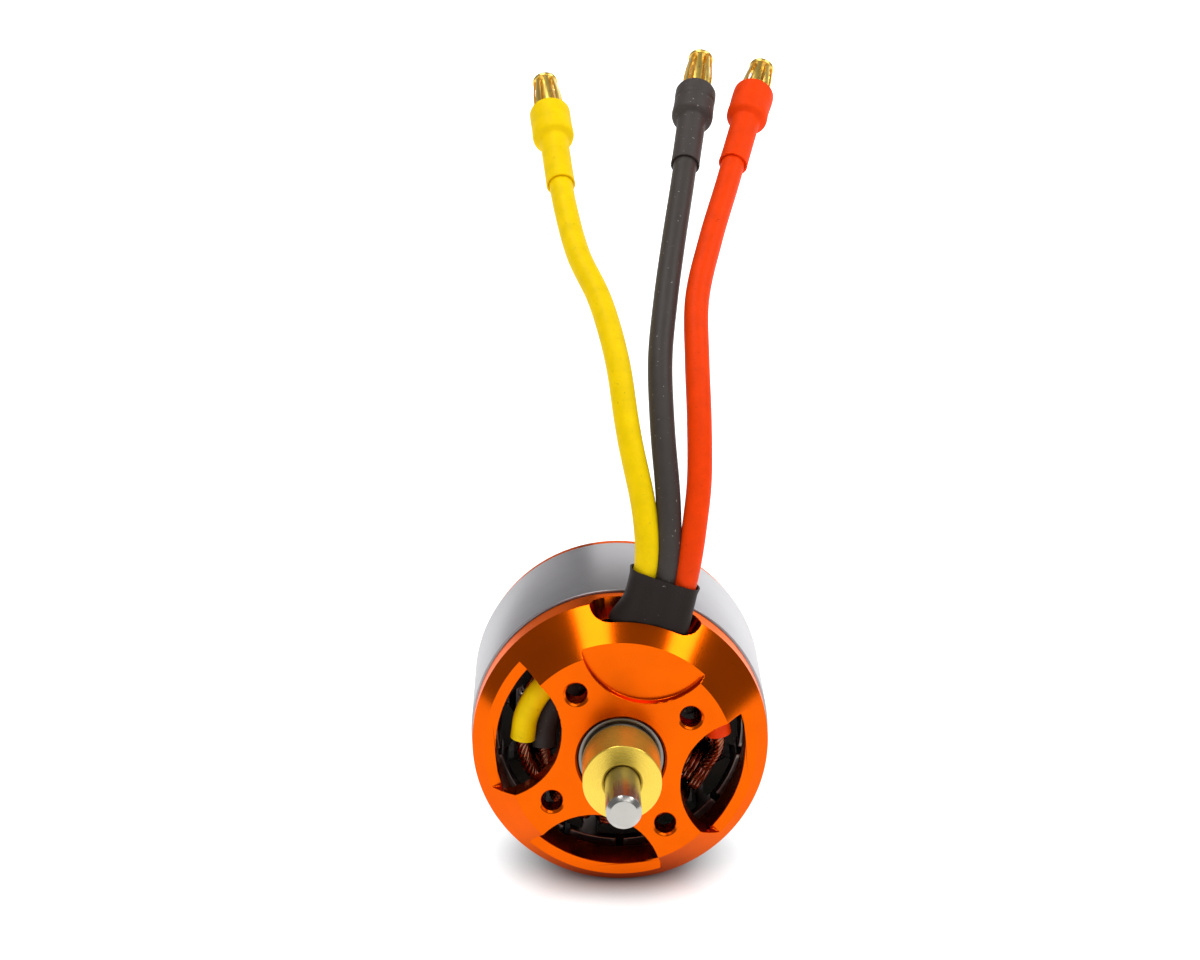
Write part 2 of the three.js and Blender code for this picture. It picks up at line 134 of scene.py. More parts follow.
def make_camera():
    camera = bpy.data.objects.new("camera", bpy.data.cameras.new("camera"))
    bpy.context.scene.collection.objects.link(camera)
    cos_up = math.cos(CAMERA_ELEVATION)
    forward = Vector((math.sin(CAMERA_AZIMUTH) * cos_up, math.cos(CAMERA_AZIMUTH) * cos_up,
                      -math.sin(CAMERA_ELEVATION)))
    camera.location = CAMERA_TARGET - forward * CAMERA_DISTANCE
    camera.rotation_mode = "QUATERNION"
    camera.rotation_quaternion = forward.to_track_quat("-Z", "Y")
    camera.data.sensor_width = SENSOR_WIDTH
    camera.data.lens = CAMERA_LENS
    camera.data.shift_x = CAMERA_SHIFT
    camera.data.clip_start, camera.data.clip_end = 0.01, 20
    bpy.context.scene.camera = camera


make_camera()


# ---- materials -----------------------------------------------------------------------------
class Shader:
    """A node material built up from short calls."""

    def __init__(self, name):
        self.material = bpy.data.materials.new(name)
        self.material.use_nodes = True
        self.tree = self.material.node_tree
        self.surface = self.tree.nodes["Principled BSDF"]

    def add(self, kind, inputs=None, **settings):
        node = self.tree.nodes.new(kind)
        for key, value in settings.items():
            setattr(node, key, value)
        for key, value in (inputs or {}).items():
            self.set(node.inputs[key], value)
        return node

    def set(self, socket, value):
        if isinstance(value, bpy.types.NodeSocket):
            self.tree.links.new(value, socket)
        else:
            socket.default_value = value

    def put(self, **values):
        """Sets the surface's own sockets; an underscore in a name stands for a space."""
        for key, value in values.items():
            self.set(self.surface.inputs[key.replace("_", " ")], value)

    def place(self):
        return self.add("ShaderNodeTexCoord").outputs["Object"]

    def maths(self, operation, a, b=0.0):
        node = self.add("ShaderNodeMath", operation=operation)
        self.set(node.inputs[0], a)
        self.set(node.inputs[1], b)
        return node.outputs[0]

    def noise(self, where, scale, detail=3.0, roughness=0.5):
        inputs = {"Vector": where, "Scale": scale, "Detail": detail, "Roughness": roughness}
        return self.add("ShaderNodeTexNoise", inputs).outputs["Fac"]

    def ramp(self, factor, *stops):
        node = self.add("ShaderNodeValToRGB", {"Fac": factor})
        elements = node.color_ramp.elements
        while len(elements) < len(stops):
            elements.new(0.5)
        for element, (position, colour) in zip(elements, stops):
            element.position = position
            element.color = (*colour, 1.0)
        return node.outputs["Color"]

    def between(self, factor, lowest, highest, start=0.0, end=1.0, curve="LINEAR"):
        """Goes from lowest to highest while the factor goes from start to end."""
        inputs = {"Value": factor, "From Min": start, "From Max": end, "To Min": lowest, "To Max": highest}
        return self.add("ShaderNodeMapRange", inputs, interpolation_type=curve).outputs["Result"]

    def round_the_axis(self):
        """Coordinates that are the same all the way round the motor axis: radius and y."""
        split = self.add("ShaderNodeSeparateXYZ", {"Vector": self.place()})
        x, y, z = (split.outputs[i] for i in "XYZ")
        squares = self.maths("ADD", self.maths("MULTIPLY", x, x), self.maths("MULTIPLY", z, z))
        radius = self.maths("SQRT", squares)
        return self.add("ShaderNodeCombineXYZ", {"X": radius, "Y": y}).outputs["Vector"]

    def bump(self, height, strength, distance):
        inputs = {"Height": height, "Strength": strength, "Distance": distance}
        self.put(Normal=self.add("ShaderNodeBump", inputs).outputs["Normal"])


def shade(colour, amount):
    return tuple(channel * amount for channel in colour)


def cloudy(s, cloud, colour, blotch):
    """A colour that drifts a little darker and lighter with a cloud pattern."""
    return s.ramp(cloud, (0.3, shade(colour, 1 - blotch)), (0.7, shade(colour, 1 + blotch)))


def turned_metal(name, colour, roughness, groove=0.25, anisotropy=0.5, coat=0.0, metallic=1.0,
                 edge=(1.0, 1.0, 1.0)):
    """Lathe-turned metal: fine rings about the motor axis, with a highlight stretched across them."""
    s = Shader(name)
    blotch = 0.05
    rings = s.noise(s.round_the_axis(), 12000.0, 2.0)
    cloud = s.noise(s.place(), 260.0, 4.0)
    s.put(Base_Color=cloudy(s, cloud, colour, blotch), Metallic=metallic)
    s.put(Anisotropic=anisotropy, Anisotropic_Rotation=0.25)
    wear = s.maths("ADD", s.maths("MULTIPLY", rings, 0.6), s.maths("MULTIPLY", cloud, 0.4))
    s.put(Roughness=s.between(wear, roughness * 0.8, roughness * 1.2))
    tangent = s.add("ShaderNodeTangent", direction_type="RADIAL", axis="Y")
    s.put(Tangent=tangent.outputs["Tangent"])
    s.put(Coat_Weight=coat, Coat_IOR=1.35, Coat_Roughness=0.12, Specular_Tint=(*edge, 1.0))
    s.bump(rings, groove, 0.000005)
    return s.material


def plain_metal(name, colour, roughness, bump=0.15):
    """Plated or blackened metal with a fine even grain."""
    s = Shader(name)
    scale, blotch = 900.0, 0.1
    grain = s.noise(s.place(), scale, 4.0)
    cloud = s.noise(s.place(), scale * 0.25, 3.0)
    s.put(Base_Color=cloudy(s, cloud, colour, blotch), Metallic=1.0)
    s.put(Roughness=s.between(grain, roughness * 0.75, roughness * 1.25))
    s.bump(grain, bump, 0.00003)
    return s.material


def rubber(name, colour, roughness, speck=(0.6, 0.56, 0.5), speck_share=0.03, bump=0.2, shine=0.3):
    """Silicone or shrink tubing: a fine skin, cloudy tone and a few specks of dust."""
    s = Shader(name)
    skin = s.noise(s.place(), 5200.0, 3.0)
    cloud = s.noise(s.place(), 420.0, 4.0, 0.6)
    tone = s.ramp(cloud, (0.25, shade(colour, 0.9)), (0.75, shade(colour, 1.08)))
    dust = s.noise(s.place(), 2600.0, 2.0)
    mask = s.ramp(dust, (0.72 - speck_share, (0, 0, 0)), (0.76 - speck_share, (1, 1, 1)))
    mix = s.add("ShaderNodeMix", data_type="RGBA")
    s.set(mix.inputs[0], s.maths("MULTIPLY", mask, 0.35))
    s.set(mix.inputs[6], tone)
    mix.inputs[7].default_value = (*speck, 1.0)
    s.put(Base_Color=mix.outputs[2], Specular_IOR_Level=shine)
    s.put(Roughness=s.between(cloud, roughness * 0.85, roughness * 1.15))
    s.bump(skin, bump, 0.00002)
    return s.material


def laminations():
    """Thin sheets stacked along the motor axis."""
    s = Shader("lamination_steel")
    sheets = s.add("ShaderNodeTexWave", {"Vector": s.place(), "Scale": 900.0, "Distortion": 0.2},
                   bands_direction="Y").outputs["Fac"]
    colours = s.ramp(s.noise(s.place(), 700.0), (0.3, (0.10, 0.09, 0.085)), (0.7, (0.2, 0.19, 0.18)))
    s.put(Base_Color=colours, Metallic=0.9, Roughness=s.between(sheets, 0.4, 0.6))
    s.bump(sheets, 0.5, 0.00005)
    return s.material


def enamelled_copper():
    s = Shader("copper_wire")
    cloud = s.noise(s.place(), 520.0, 4.0)
    colours = s.ramp(cloud, (0.25, (0.14, 0.033, 0.010)), (0.75, (0.38, 0.11, 0.035)))
    s.put(Base_Color=colours, Metallic=1.0, Coat_Weight=1.0, Coat_Roughness=0.06)
    s.put(Roughness=s.between(cloud, 0.18, 0.34))
    s.bump(s.noise(s.place(), 3000.0), 0.12, 0.00002)
    return s.material


RED, YELLOW = (0.93, 0.056, 0.0012), (0.97, 0.66, 0.0)
LOOKS = {
    "orange_aluminium": turned_metal("orange_aluminium", (0.80, 0.110, 0.0004), 0.22, coat=0.05,
                                     edge=(1.0, 0.55, 0.4)),
    "can_steel": turned_metal("can_steel", (0.41, 0.40, 0.415), 0.33, anisotropy=0.35),
    "collar_brass": turned_metal("collar_brass", (0.90, 0.64, 0.09), 0.28, groove=0.5, metallic=0.8),
    "bright_steel": turned_metal("bright_steel", (0.48, 0.465, 0.435), 0.24, groove=0.4, anisotropy=0.4),
    # The bearing look is a darker copy of bright steel: painted shade for the bearing ring and shields in the
    # recess round the collar.
    "shaded_bearing_steel": turned_metal("shaded_bearing_steel", (0.24, 0.232, 0.22), 0.3, groove=0.4, anisotropy=0.4),
    "magnet_nickel": plain_metal("magnet_nickel", (0.30, 0.27, 0.25), 0.34),
    "gold_plate": plain_metal("gold_plate", (0.92, 0.64, 0.14), 0.3, bump=0.1),
    "black_steel": plain_metal("black_steel", (0.035, 0.035, 0.038), 0.4),
    "cage_brass": plain_metal("cage_brass", (0.60, 0.45, 0.2), 0.3),
    "lamination_steel": laminations(),
    "copper_wire": enamelled_copper(),
    "slot_insulation": rubber("slot_insulation", (0.012, 0.022, 0.016), 0.5),
    "black_shrink": rubber("black_shrink", (0.015, 0.0095, 0.0075), 0.55, speck_share=-0.02, bump=0.35,
                           shine=0.22),
    "yellow_silicone": rubber("yellow_silicone", YELLOW, 0.5, speck=(0.35, 0.25, 0.02), shine=0.08),
    "black_silicone": rubber("black_silicone", (0.055, 0.046, 0.041), 0.5, speck_share=0.02, shine=0.2),
    "red_silicone": rubber("red_silicone", RED, 0.5, speck=(0.4, 0.02, 0.0), shine=0.08),
    "yellow_shrink": rubber("yellow_shrink", YELLOW, 0.55, speck=(0.5, 0.3, 0.0), shine=0.08),
    "red_shrink": rubber("red_shrink", RED, 0.55, speck=(0.4, 0.02, 0.0), shine=0.08),
    "black_shrink_boot": rubber("black_shrink_boot", (0.060, 0.050, 0.046), 0.55, speck_share=0.02,
                                shine=0.2),
}


# ---- mesh helpers ------------------------------------------------------------------------
def make_object(name, parts, crease=35.0):
    """One mesh object from a list of (vertices, faces), in millimetres."""
    vertices, faces = [], []
    for points, polygons in parts:
        first = len(vertices)
        vertices += [Vector(p) * MM for p in points]
        faces += [[first + i for i in polygon] for polygon in polygons]
    mesh = bpy.data.meshes.new(name)
    mesh.from_pydata(vertices, [], faces)
    smooth(mesh, crease)
    made = bpy.data.objects.new(name, mesh)
    bpy.context.scene.collection.objects.link(made)
    return made


def smooth(mesh, crease):
    """Outward normals, smooth shading, and sharp edges where faces meet at more than crease degrees."""
    work = bmesh.new()
    work.from_mesh(mesh)
    bmesh.ops.recalc_face_normals(work, faces=work.faces)
    work.to_mesh(mesh)
    work.free()
    mesh.polygons.foreach_set("use_smooth", [True] * len(mesh.polygons))
    mesh.set_sharp_from_angle(angle=math.radians(crease))


NEARLY_STRAIGHT = math.radians(170)     # a corner flatter than this stays as it is
MOST_OF_A_RUN = 0.45                    # a rounded corner takes no more than this share of each side


def eased(outline, radius, closed=True):
    """The outline with each corner rounded, where there is room for it."""
    points = [Vector(p) for p in outline]
    count, arc = len(points), 3
    result = []
    for i, corner in enumerate(points):
        if not closed and i in (0, count - 1):
            result.append(corner)
            continue
        before, after = points[i - 1] - corner, points[(i + 1) % count] - corner
        if before.angle(after) > NEARLY_STRAIGHT:
            result.append(corner)
            continue
        reach = min(radius, before.length * MOST_OF_A_RUN, after.length * MOST_OF_A_RUN)
        start, end = corner + before.normalized() * reach, corner + after.normalized() * reach
        for k in range(arc + 1):
            t = k / arc
            result.append(start * (1 - t) ** 2 + corner * 2 * t * (1 - t) + end * t ** 2)
    return [(p.x, p.y) for p in result]


ON_AXIS = 1e-6      # a point this near the axis is one vertex and not a ring of them


def lathe(outline, steps, closed=True, wobble=None):
    """Vertices and faces of an outline of (radius, y) turned about the motor axis."""
    vertices, faces, rows = [], [], []
    for radius, y in outline:
        if radius < ON_AXIS:
            rows.append([len(vertices)] * steps)
            vertices.append((0, y, 0))
            continue
        rows.append(list(range(len(vertices), len(vertices) + steps)))
        for k in range(steps):
            angle = 2 * math.pi * k / steps
            r = radius * (wobble(angle, y) if wobble else 1)
            vertices.append((r * math.cos(angle), y, r * math.sin(angle)))
    spans = len(rows) if closed else len(rows) - 1
    for i in range(spans):
        near, far = rows[i], rows[(i + 1) % len(rows)]
        for k in range(steps):
            corners = [near[k], near[(k + 1) % steps], far[(k + 1) % steps], far[k]]
            unique = list(dict.fromkeys(corners))
            if len(unique) > 2:
                faces.append(unique)
    return vertices, faces


def moved(part, matrix):
    return [matrix @ Vector(v) for v in part[0]], part[1]


def on_circle(part, angle, distance):
    """Moves a part from the motor axis to a place on a circle round it."""
    return moved(part, Matrix.Translation((distance * math.cos(angle), 0, distance * math.sin(angle))))


def peg(radius, y0, y1, steps):
    outline = [(0, y0), (radius, y0), (radius, y1), (0, y1)]
    return lathe(outline, steps, closed=False)


def sector(inner, outer, half_angle, centre, y0, y1, steps=24):
    """A ring segment between two radii, as vertices and faces."""
    vertices, faces = [], []
    for k in range(steps + 1):
        angle = centre + half_angle * (2 * k / steps - 1)
        for r, y in ((inner, y0), (outer, y0), (outer, y1), (inner, y1)):
            vertices.append((r * math.cos(angle), y, r * math.sin(angle)))
    for k in range(steps):
        a, b = 4 * k, 4 * k + 4
        faces += [[a + i, a + (i + 1) % 4, b + (i + 1) % 4, b + i] for i in range(4)]
    last = 4 * steps
    faces += [[0, 3, 2, 1], [last, last + 1, last + 2, last + 3]]
    return vertices, faces


def out_from_axis(angle, y):
    """Turns +Y into the direction that leaves the motor axis at an angle, at a height y."""
    turn = Matrix.Rotation(-angle, 4, "Y") @ Matrix.Rotation(-math.pi / 2, 4, "Z")
    return Matrix.Translation((0, y, 0)) @ turn


def cut(target, parts):
    tool = make_object("tool", parts)
    change = target.modifiers.new("cut", "BOOLEAN")
    change.operation, change.solver, change.object = "DIFFERENCE", "EXACT", tool
    settle(target)
    bpy.data.objects.remove(tool)


def settle(target):
    """Applies the modifiers of an object to its mesh."""
    graph = bpy.context.evaluated_depsgraph_get()
    result = bpy.data.meshes.new_from_object(target.evaluated_get(graph))
    old = target.data
    target.modifiers.clear()
    target.data = result
    bpy.data.meshes.remove(old)


SLIVER = 0.004          # the length of the stray edges that a cut can leave


def break_edges(target, width, segments=2, limit=30.0):
    """Small rounded edges, as a machinist's deburring leaves, where faces meet at more than limit degrees."""
    clean = bmesh.new()
    clean.from_mesh(target.data)
    bmesh.ops.remove_doubles(clean, verts=clean.verts, dist=SLIVER * MM)
    bmesh.ops.dissolve_degenerate(clean, edges=clean.edges, dist=SLIVER * MM)
    clean.to_mesh(target.data)
    clean.free()
    bevel = target.modifiers.new("bevel", "BEVEL")
    bevel.width, bevel.segments = width * MM, segments
    bevel.limit_method, bevel.angle_limit = "ANGLE", math.radians(limit)
    bevel.use_clamp_overlap = False
    bevel.miter_outer = "MITER_ARC"
    settle(target)
    smooth(target.data, 50.0)
    weights = target.modifiers.new("weighted", "WEIGHTED_NORMAL")
    weights.mode, weights.weight, weights.keep_sharp = "FACE_AREA", 60, True
    settle(target)


SQUARE_ON = 0.99        # a face whose normal has this much Y in it is square to the axis
ON_OUTLINE = 0.008      # a face this near the outline is part of the turned surface


def true_normals(target, outline):
    """Exact shading for a turned part: its own outline's surfaces, and any face square to the axis."""
    mesh = target.data
    normals = [Vector(corner.vector) for corner in mesh.corner_normals]
    runs = [(Vector(a), Vector(b)) for a, b in zip(outline, [*outline[1:], outline[0]])]
    for face in mesh.polygons:
        place = Vector((math.hypot(face.center.x, face.center.z), face.center.y)) / MM
        slope = None
        for start, end in runs:
            nearest, share = intersect_point_line(place, start, end)
            if 0 <= share <= 1 and (nearest.to_2d() - place).length < ON_OUTLINE:
                run = (end - start).normalized()
                slope = Vector((run.y, -run.x))
        for i in face.loop_indices:
            if slope is not None:
                at = mesh.vertices[mesh.loops[i].vertex_index].co
                out = Vector((at.x, 0, at.z)).normalized() * slope.x
                normals[i] = Vector((out.x, slope.y, out.z))
            elif abs(face.normal.y) > SQUARE_ON:
                normals[i] = Vector((0, math.copysign(1, face.normal.y), 0))
    mesh.normals_split_custom_set(normals)


def smooth_route(points, per_span=8):
    """A centripetal Catmull-Rom curve through the points, as the CAD part's leads follow."""
    path = [Vector(p) for p in points]
    path = [path[0] * 2 - path[1], *path, path[-1] * 2 - path[-2]]
    result = []
    for p0, p1, p2, p3 in zip(path, path[1:], path[2:], path[3:]):
        t1 = (p1 - p0).length ** 0.5
        t2 = t1 + (p2 - p1).length ** 0.5
        t3 = t2 + (p3 - p2).length ** 0.5
        for k in range(per_span):
            t = t1 + (t2 - t1) * k / per_span
            a1 = p0.lerp(p1, t / t1)
            a2 = p1.lerp(p2, (t - t1) / (t2 - t1))
            a3 = p2.lerp(p3, (t - t2) / (t3 - t2))
            b1 = a1.lerp(a2, t / t2)
            b2 = a2.lerp(a3, (t - t1) / (t3 - t1))
            result.append(b1.lerp(b2, (t - t1) / (t2 - t1)))
    return [*result, path[-2]]


def sweep(path, radius, sides=16):
    """A round tube with closed ends along a path."""
    vertices, faces = [], []
    count = len(path)
    normal = (path[1] - path[0]).orthogonal().normalized()
    for i, point in enumerate(path):
        along = (path[min(i + 1, count - 1)] - path[max(i - 1, 0)]).normalized()
        normal = (normal - along * normal.dot(along)).normalized()
        across = along.cross(normal)
        r = radius(i / (count - 1)) if callable(radius) else radius
        for k in range(sides):
            angle = 2 * math.pi * k / sides
            vertices.append(point + (normal * math.cos(angle) + across * math.sin(angle)) * r)
    for i in range(count - 1):
        for k in range(sides):
            a, b = i * sides + k, i * sides + (k + 1) % sides
            faces.append([a, b, b + sides, a + sides])
    faces.append(list(range(sides))[::-1])
    faces.append([(count - 1) * sides + k for k in range(sides)])
    return vertices, faces


def dress(piece, look, body, *nodes, slot=None):
    """Gives a piece its material, its body, and the CAD nodes that it stands for; the slot argument is not
    used.
    """
    piece.data.materials.clear()
    piece.data.materials.append(LOOKS[look])
    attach(piece, body)
    if nodes:
        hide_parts(*nodes)
    return piece


# ---- leads -----------------------------------------------------------------------------------
# The same routes as in the CAD part, in metres, from the winding to the boot, and each bullet's tip.
ROUTES = {
    "yellow": [
        (-.0114, .0052, .0008), (-.0109, .005, .0038), (-.0092, .0048, .0069), (-.0062, .005, .0093),
        (-.003, .0053, .0107), (-.0008, .0054, .012), (.0005, .0054, .0138), (.0011, .0054, .01594),
        (.00174, .0054, .01887), (.00234, .0054, .0216), (.00245, .0056, .0237), (.00235, .0064, .0265),
        (.0021, .0076, .0294), (.0016, .009, .0328), (.0008, .0115, .0373), (-.0002, .0162, .0433),
        (-.0021, .0228, .0489), (-.0046, .0292, .053), (-.0061, .036, .0572), (-.0067, .0401, .0596),
    ],
    "black": [
        (-.0089, .0067, -.0008), (-.0088, .007, .0016), (-.0078, .0073, .0044), (-.0059, .0075, .0067),
        (-.0031, .0075, .008), (-.0003, .007, .0086), (.0019, .0061, .0099), (.0031, .0056, .0116),
        (.0036, .0054, .0135), (.00403, .0054, .0153), (.00467, .0054, .01823), (.00527, .0054, .02096),
        (.00545, .0057, .0233), (.00545, .0068, .0272), (.0053, .0085, .0314), (.0049, .0115, .0373),
        (.0048, .0162, .0433), (.0056, .0225, .049), (.0068, .0305, .0545), (.0079, .0376, .0588),
        (.0086, .0423, .0616),
    ],
    "red": [
        (.0115, .0052, .0012), (.0109, .005, .0042), (.0096, .0049, .0068), (.0079, .005, .0089),
        (.0067, .0053, .0108), (.0065, .0054, .0126), (.00696, .0054, .01465), (.0076, .0054, .01758),
        (.0082, .0054, .02032), (.00855, .0056, .0227), (.00885, .0066, .0266), (.00915, .0083, .031),
        (.0092, .0115, .0373), (.0091, .0161, .0432), (.0093, .0225, .049), (.0112, .0306, .0545),
        (.0135, .039, .0594), (.0145, .0427, .0616),
    ],
}
TIPS = {"yellow": (-.0087, .0573, .0696), "black": (.0112, .0599, .0721), "red": (.0189, .0587, .0711)}
JOINT_GAP = 0.3         # from a lead's last point to its boot's start, and from the boot to the plug
BOOT_LENGTH = 13.3
BOOT_SKIN = (           # radius at a distance from the boot's start, from one mouth to the other
    (0, 0.8), (1.50, 0.8), (1.50, -0.4), (1.62, -0.52),
    (1.79, -0.5), (1.77, -0.1), (1.76, 1.5), (1.76, 5.2), (1.77, 7.45), (1.80, 7.7), (1.94, 7.85),
    (2.28, 7.97), (2.46, 8.13), (2.55, 8.4), (2.58, 8.9), (2.53, 9.8), (2.52, 10.4), (2.53, 10.7),
    (2.53, 10.85), (2.53, 11.0), (2.53, 11.15), (2.54, 11.3), (2.54, 11.7), (2.55, 12.7), (2.53, 13.1),
    (2.46, 13.26), (2.34, 13.3), (1.98, 13.3), (1.92, 13.2), (1.90, 12.4), (1.89, 11.4), (0, 11.4),
)
# The tube gripped the plug's groove and left a ring: its depth as a share of the radius, place and width.
GRIP = {"yellow": 0.01, "black": 0.035, "red": 0.01}
GRIP_PLACE, GRIP_WIDTH = 11.0, 0.2
UNEVEN = 0.022          # how far the boot is out of round, as a share of its radius


def frame_along(start, direction):
    """Places something turned about +Y on a start point, along a direction."""
    turn = Vector((0, 1, 0)).rotation_difference(direction).to_matrix().to_4x4()
    return Matrix.Translation(start) @ turn


def boot(colour, place):
    """Stepped shrink tube over the solder joint, with a mouth at both ends, and never quite round."""
    seed = COLOURS.index(colour) * 10
    across, along = 1.2, 0.35       # how fine the unevenness is

    def wobble(angle, y):
        where = Vector((math.cos(angle) * across, y * along + seed, math.sin(angle) * across))
        groove = GRIP[colour] * math.exp(-((y - GRIP_PLACE) / GRIP_WIDTH) ** 2)
        return 1 + UNEVEN * noise.noise(where) - groove

    skin = lathe(BOOT_SKIN, 64, closed=False, wobble=wobble)
    made = make_object(f"boot_{colour}_shrink", [moved(skin, place)], 60)
    look = "black_shrink_boot" if colour == "black" else f"{colour}_shrink"
    slot = "black_shrink" if colour == "black" else look
    return dress(made, look, "base", f"boot_{colour}", slot=slot)


BULLET_ROOT = -2.6      # the cage starts this far inside the boot
BULLET_HEAD = 0.75      # the pin's head stands this far past the cage
CAGE_WALL = 0.24
CAGE_SLOTS = 8
CAGE_SLOT_HALF = 0.29   # half the width of a slot, which is also the radius of its round ends


def cage_profile(rim):
    """Outside of the barrel cage from its root to its rim: a wide belly that narrows to a neck."""
    belly, neck, mouth, flare = 1.82, 1.45, 0.25, 0.5
    barrel = []
    for k in range(17):
        y = BULLET_ROOT + (rim - BULLET_ROOT) * k / 16
        t = y / rim
        if t < mouth:
            barrel.append((belly - flare * (mouth - t) ** 2, y))
        else:
            barrel.append((neck + (belly - neck) * math.cos((t - mouth) / (1 - mouth) * math.pi / 2), y))
    return barrel


def cage_slots(rim):
    """Cutters for the slots, each with round ends and wider on its outside."""
    ahead, margin = 0.5, 0.75
    middle, reach = (BULLET_ROOT + rim) / 2 + ahead, (rim - BULLET_ROOT) / 2 - margin
    start, end, spread, steps = 0.7, 2.4, 1.5, 16
    outline = []
    for j in range(steps):
        turn = 2 * math.pi * j / steps
        side = reach if math.sin(turn) > 0 else -reach
        outline.append((CAGE_SLOT_HALF * math.cos(turn), middle + side + CAGE_SLOT_HALF * math.sin(turn)))
    near = [(start, y, x) for x, y in outline]
    far = [(end, y, x * spread) for x, y in outline]
    ring = list(range(steps))
    faces = [[k, (k + 1) % steps, steps + (k + 1) % steps, steps + k] for k in ring]
    faces += [ring[::-1], [steps + k for k in ring]]
    angles = [2 * math.pi * (k + 0.5) / CAGE_SLOTS for k in range(CAGE_SLOTS)]
    return [moved((near + far, faces), Matrix.Rotation(-angle, 4, "Y")) for angle in angles]


def bullet(colour, place, length):
    """Gold plug: a pin with a domed head, inside a barrel cage with slots."""
    rim = length - BULLET_HEAD
    barrel = cage_profile(rim)
    shell = barrel + [(r - CAGE_WALL, y) for r, y in reversed(barrel)]
    cage = make_object("cage", [lathe(shell, 96)])
    cut(cage, cage_slots(rim))
    smooth(cage.data, 40)
    cage_part = ([v.co / MM for v in cage.data.vertices], [list(p.vertices) for p in cage.data.polygons])
    bpy.data.objects.remove(cage)
    pin = [
        (0, BULLET_ROOT), (1.3, BULLET_ROOT), (1.2, rim * 0.3), (0.85, rim - 0.9), (0.9, rim - 0.25),
        (1.3, rim), (1.5, rim + 0.08), (1.58, rim + 0.25), (1.55, rim + 0.45), (1.28, length - 0.12),
        (0.8, length - 0.02), (0, length)]
    parts = [moved(cage_part, place), moved(lathe(pin, 64, closed=False), place)]
    made = make_object(f"bullet_{colour}_plug", parts, 40)
    return dress(made, "gold_plate", "base", f"bullet_{colour}")


SQUEEZE = 0.22          # the sleeve presses the outer leads this share of the way in
PRESS_GROWS, PRESS_FADES = (11.5, 15.5), (21.0, 35.0)   # heights between which the press grows and fades


def rise(value, start, end):
    """Rises smoothly from 0 to 1 between two values."""
    t = min(1.0, max(0.0, (value - start) / (end - start)))
    return t * t * (3 - 2 * t)


def squeezed(point):
    """A point of a lead's centreline where the sleeve draws the three leads together."""
    height, across = point.dot(UP), point.dot(SIDE) - SLEEVE_OFFSET
    grip = rise(height, *PRESS_GROWS) * (1 - rise(height, *PRESS_FADES))
    return point - SIDE * (across * SQUEEZE * grip)


INTO_BOOT = 1.0         # a lead's tube runs this far into its boot


def lead(colour):
    """A lead from the winding to its boot, with the boot and the plug at its end."""
    path = [squeezed(p / MM) for p in smooth_route(ROUTES[colour])]
    end, tip = Vector(ROUTES[colour][-1]) / MM, Vector(TIPS[colour]) / MM
    direction = (tip - end).normalized()
    body = [*path, end + direction * INTO_BOOT]
    tube = make_object(f"lead_{colour}_wire", [sweep(body, LEAD_RADIUS, 28)], 60)
    dress(tube, f"{colour}_silicone", "base", f"lead_{colour}")
    start = end + direction * JOINT_GAP
    cover = boot(colour, frame_along(start, direction))
    plug_start = start + direction * (BOOT_LENGTH + JOINT_GAP)
    plug = bullet(colour, frame_along(plug_start, direction), (tip - plug_start).length)


for colour in COLOURS:
    lead(colour)


SLEEVE_WALL, SLEEVE_SLACK = 0.2, 0.1    # the slack lies between the leads and the wall
LEAD_PITCH = 3.0        # between the leads' centres before the sleeve presses them together
FLARE, FLARE_REACH = 1.25, 2.0          # how far the edge at -SIDE opens out in the slot, and how high up
LIP, LIP_REACH = 0.14, 0.45             # the curl at the upper hem
HEM_SLANT = 0.11        # how much lower the hem sits for each millimetre across
SHARPNESS = 3.2         # how quickly the flat sides turn into the round ends
BLUNTNESS = 0.8         # below 1, the round ends are blunter than a circle
DENT, WRINKLE = 0.07, 0.05              # the dents between the leads, and the wrinkles all over


def sleeve_point(t, angle):
    """A point of the sleeve's outside and the point inside it that its wall faces."""
    level = SLEEVE_INNER + (SLEEVE_OUTER - SLEEVE_INNER) * t
    half_run = LEAD_PITCH * (1 - SQUEEZE)
    flare = math.exp(-((level - SLEEVE_INNER) / FLARE_REACH) ** 2)
    lip = LIP * math.exp(-((level - SLEEVE_OUTER) / LIP_REACH) ** 2)
    thick = LEAD_RADIUS + SLEEVE_SLACK + SLEEVE_WALL + lip
    blend = math.tanh(SHARPNESS * math.cos(angle))
    across = half_run * blend + thick * math.cos(angle)
    if across < 0:
        across -= FLARE * flare * abs(blend)
    height = level - HEM_SLANT * t * (across + half_run)
    depth = thick * math.copysign(abs(math.sin(angle)) ** BLUNTNESS, math.sin(angle))
    dent = DENT * math.cos(across / half_run * 2 * math.pi) * math.copysign(1, depth)
    wrinkle = WRINKLE * noise.noise(Vector((across * 0.5, height * 0.5, depth * 0.2 + 3)))
    y = LEAD_Y + depth - dent + wrinkle
    point = UP * height + SIDE * (SLEEVE_OFFSET + across) + Vector((0, y, 0))
    centre = UP * height + SIDE * (SLEEVE_OFFSET + half_run * blend) + Vector((0, LEAD_Y, 0))
    return point, centre


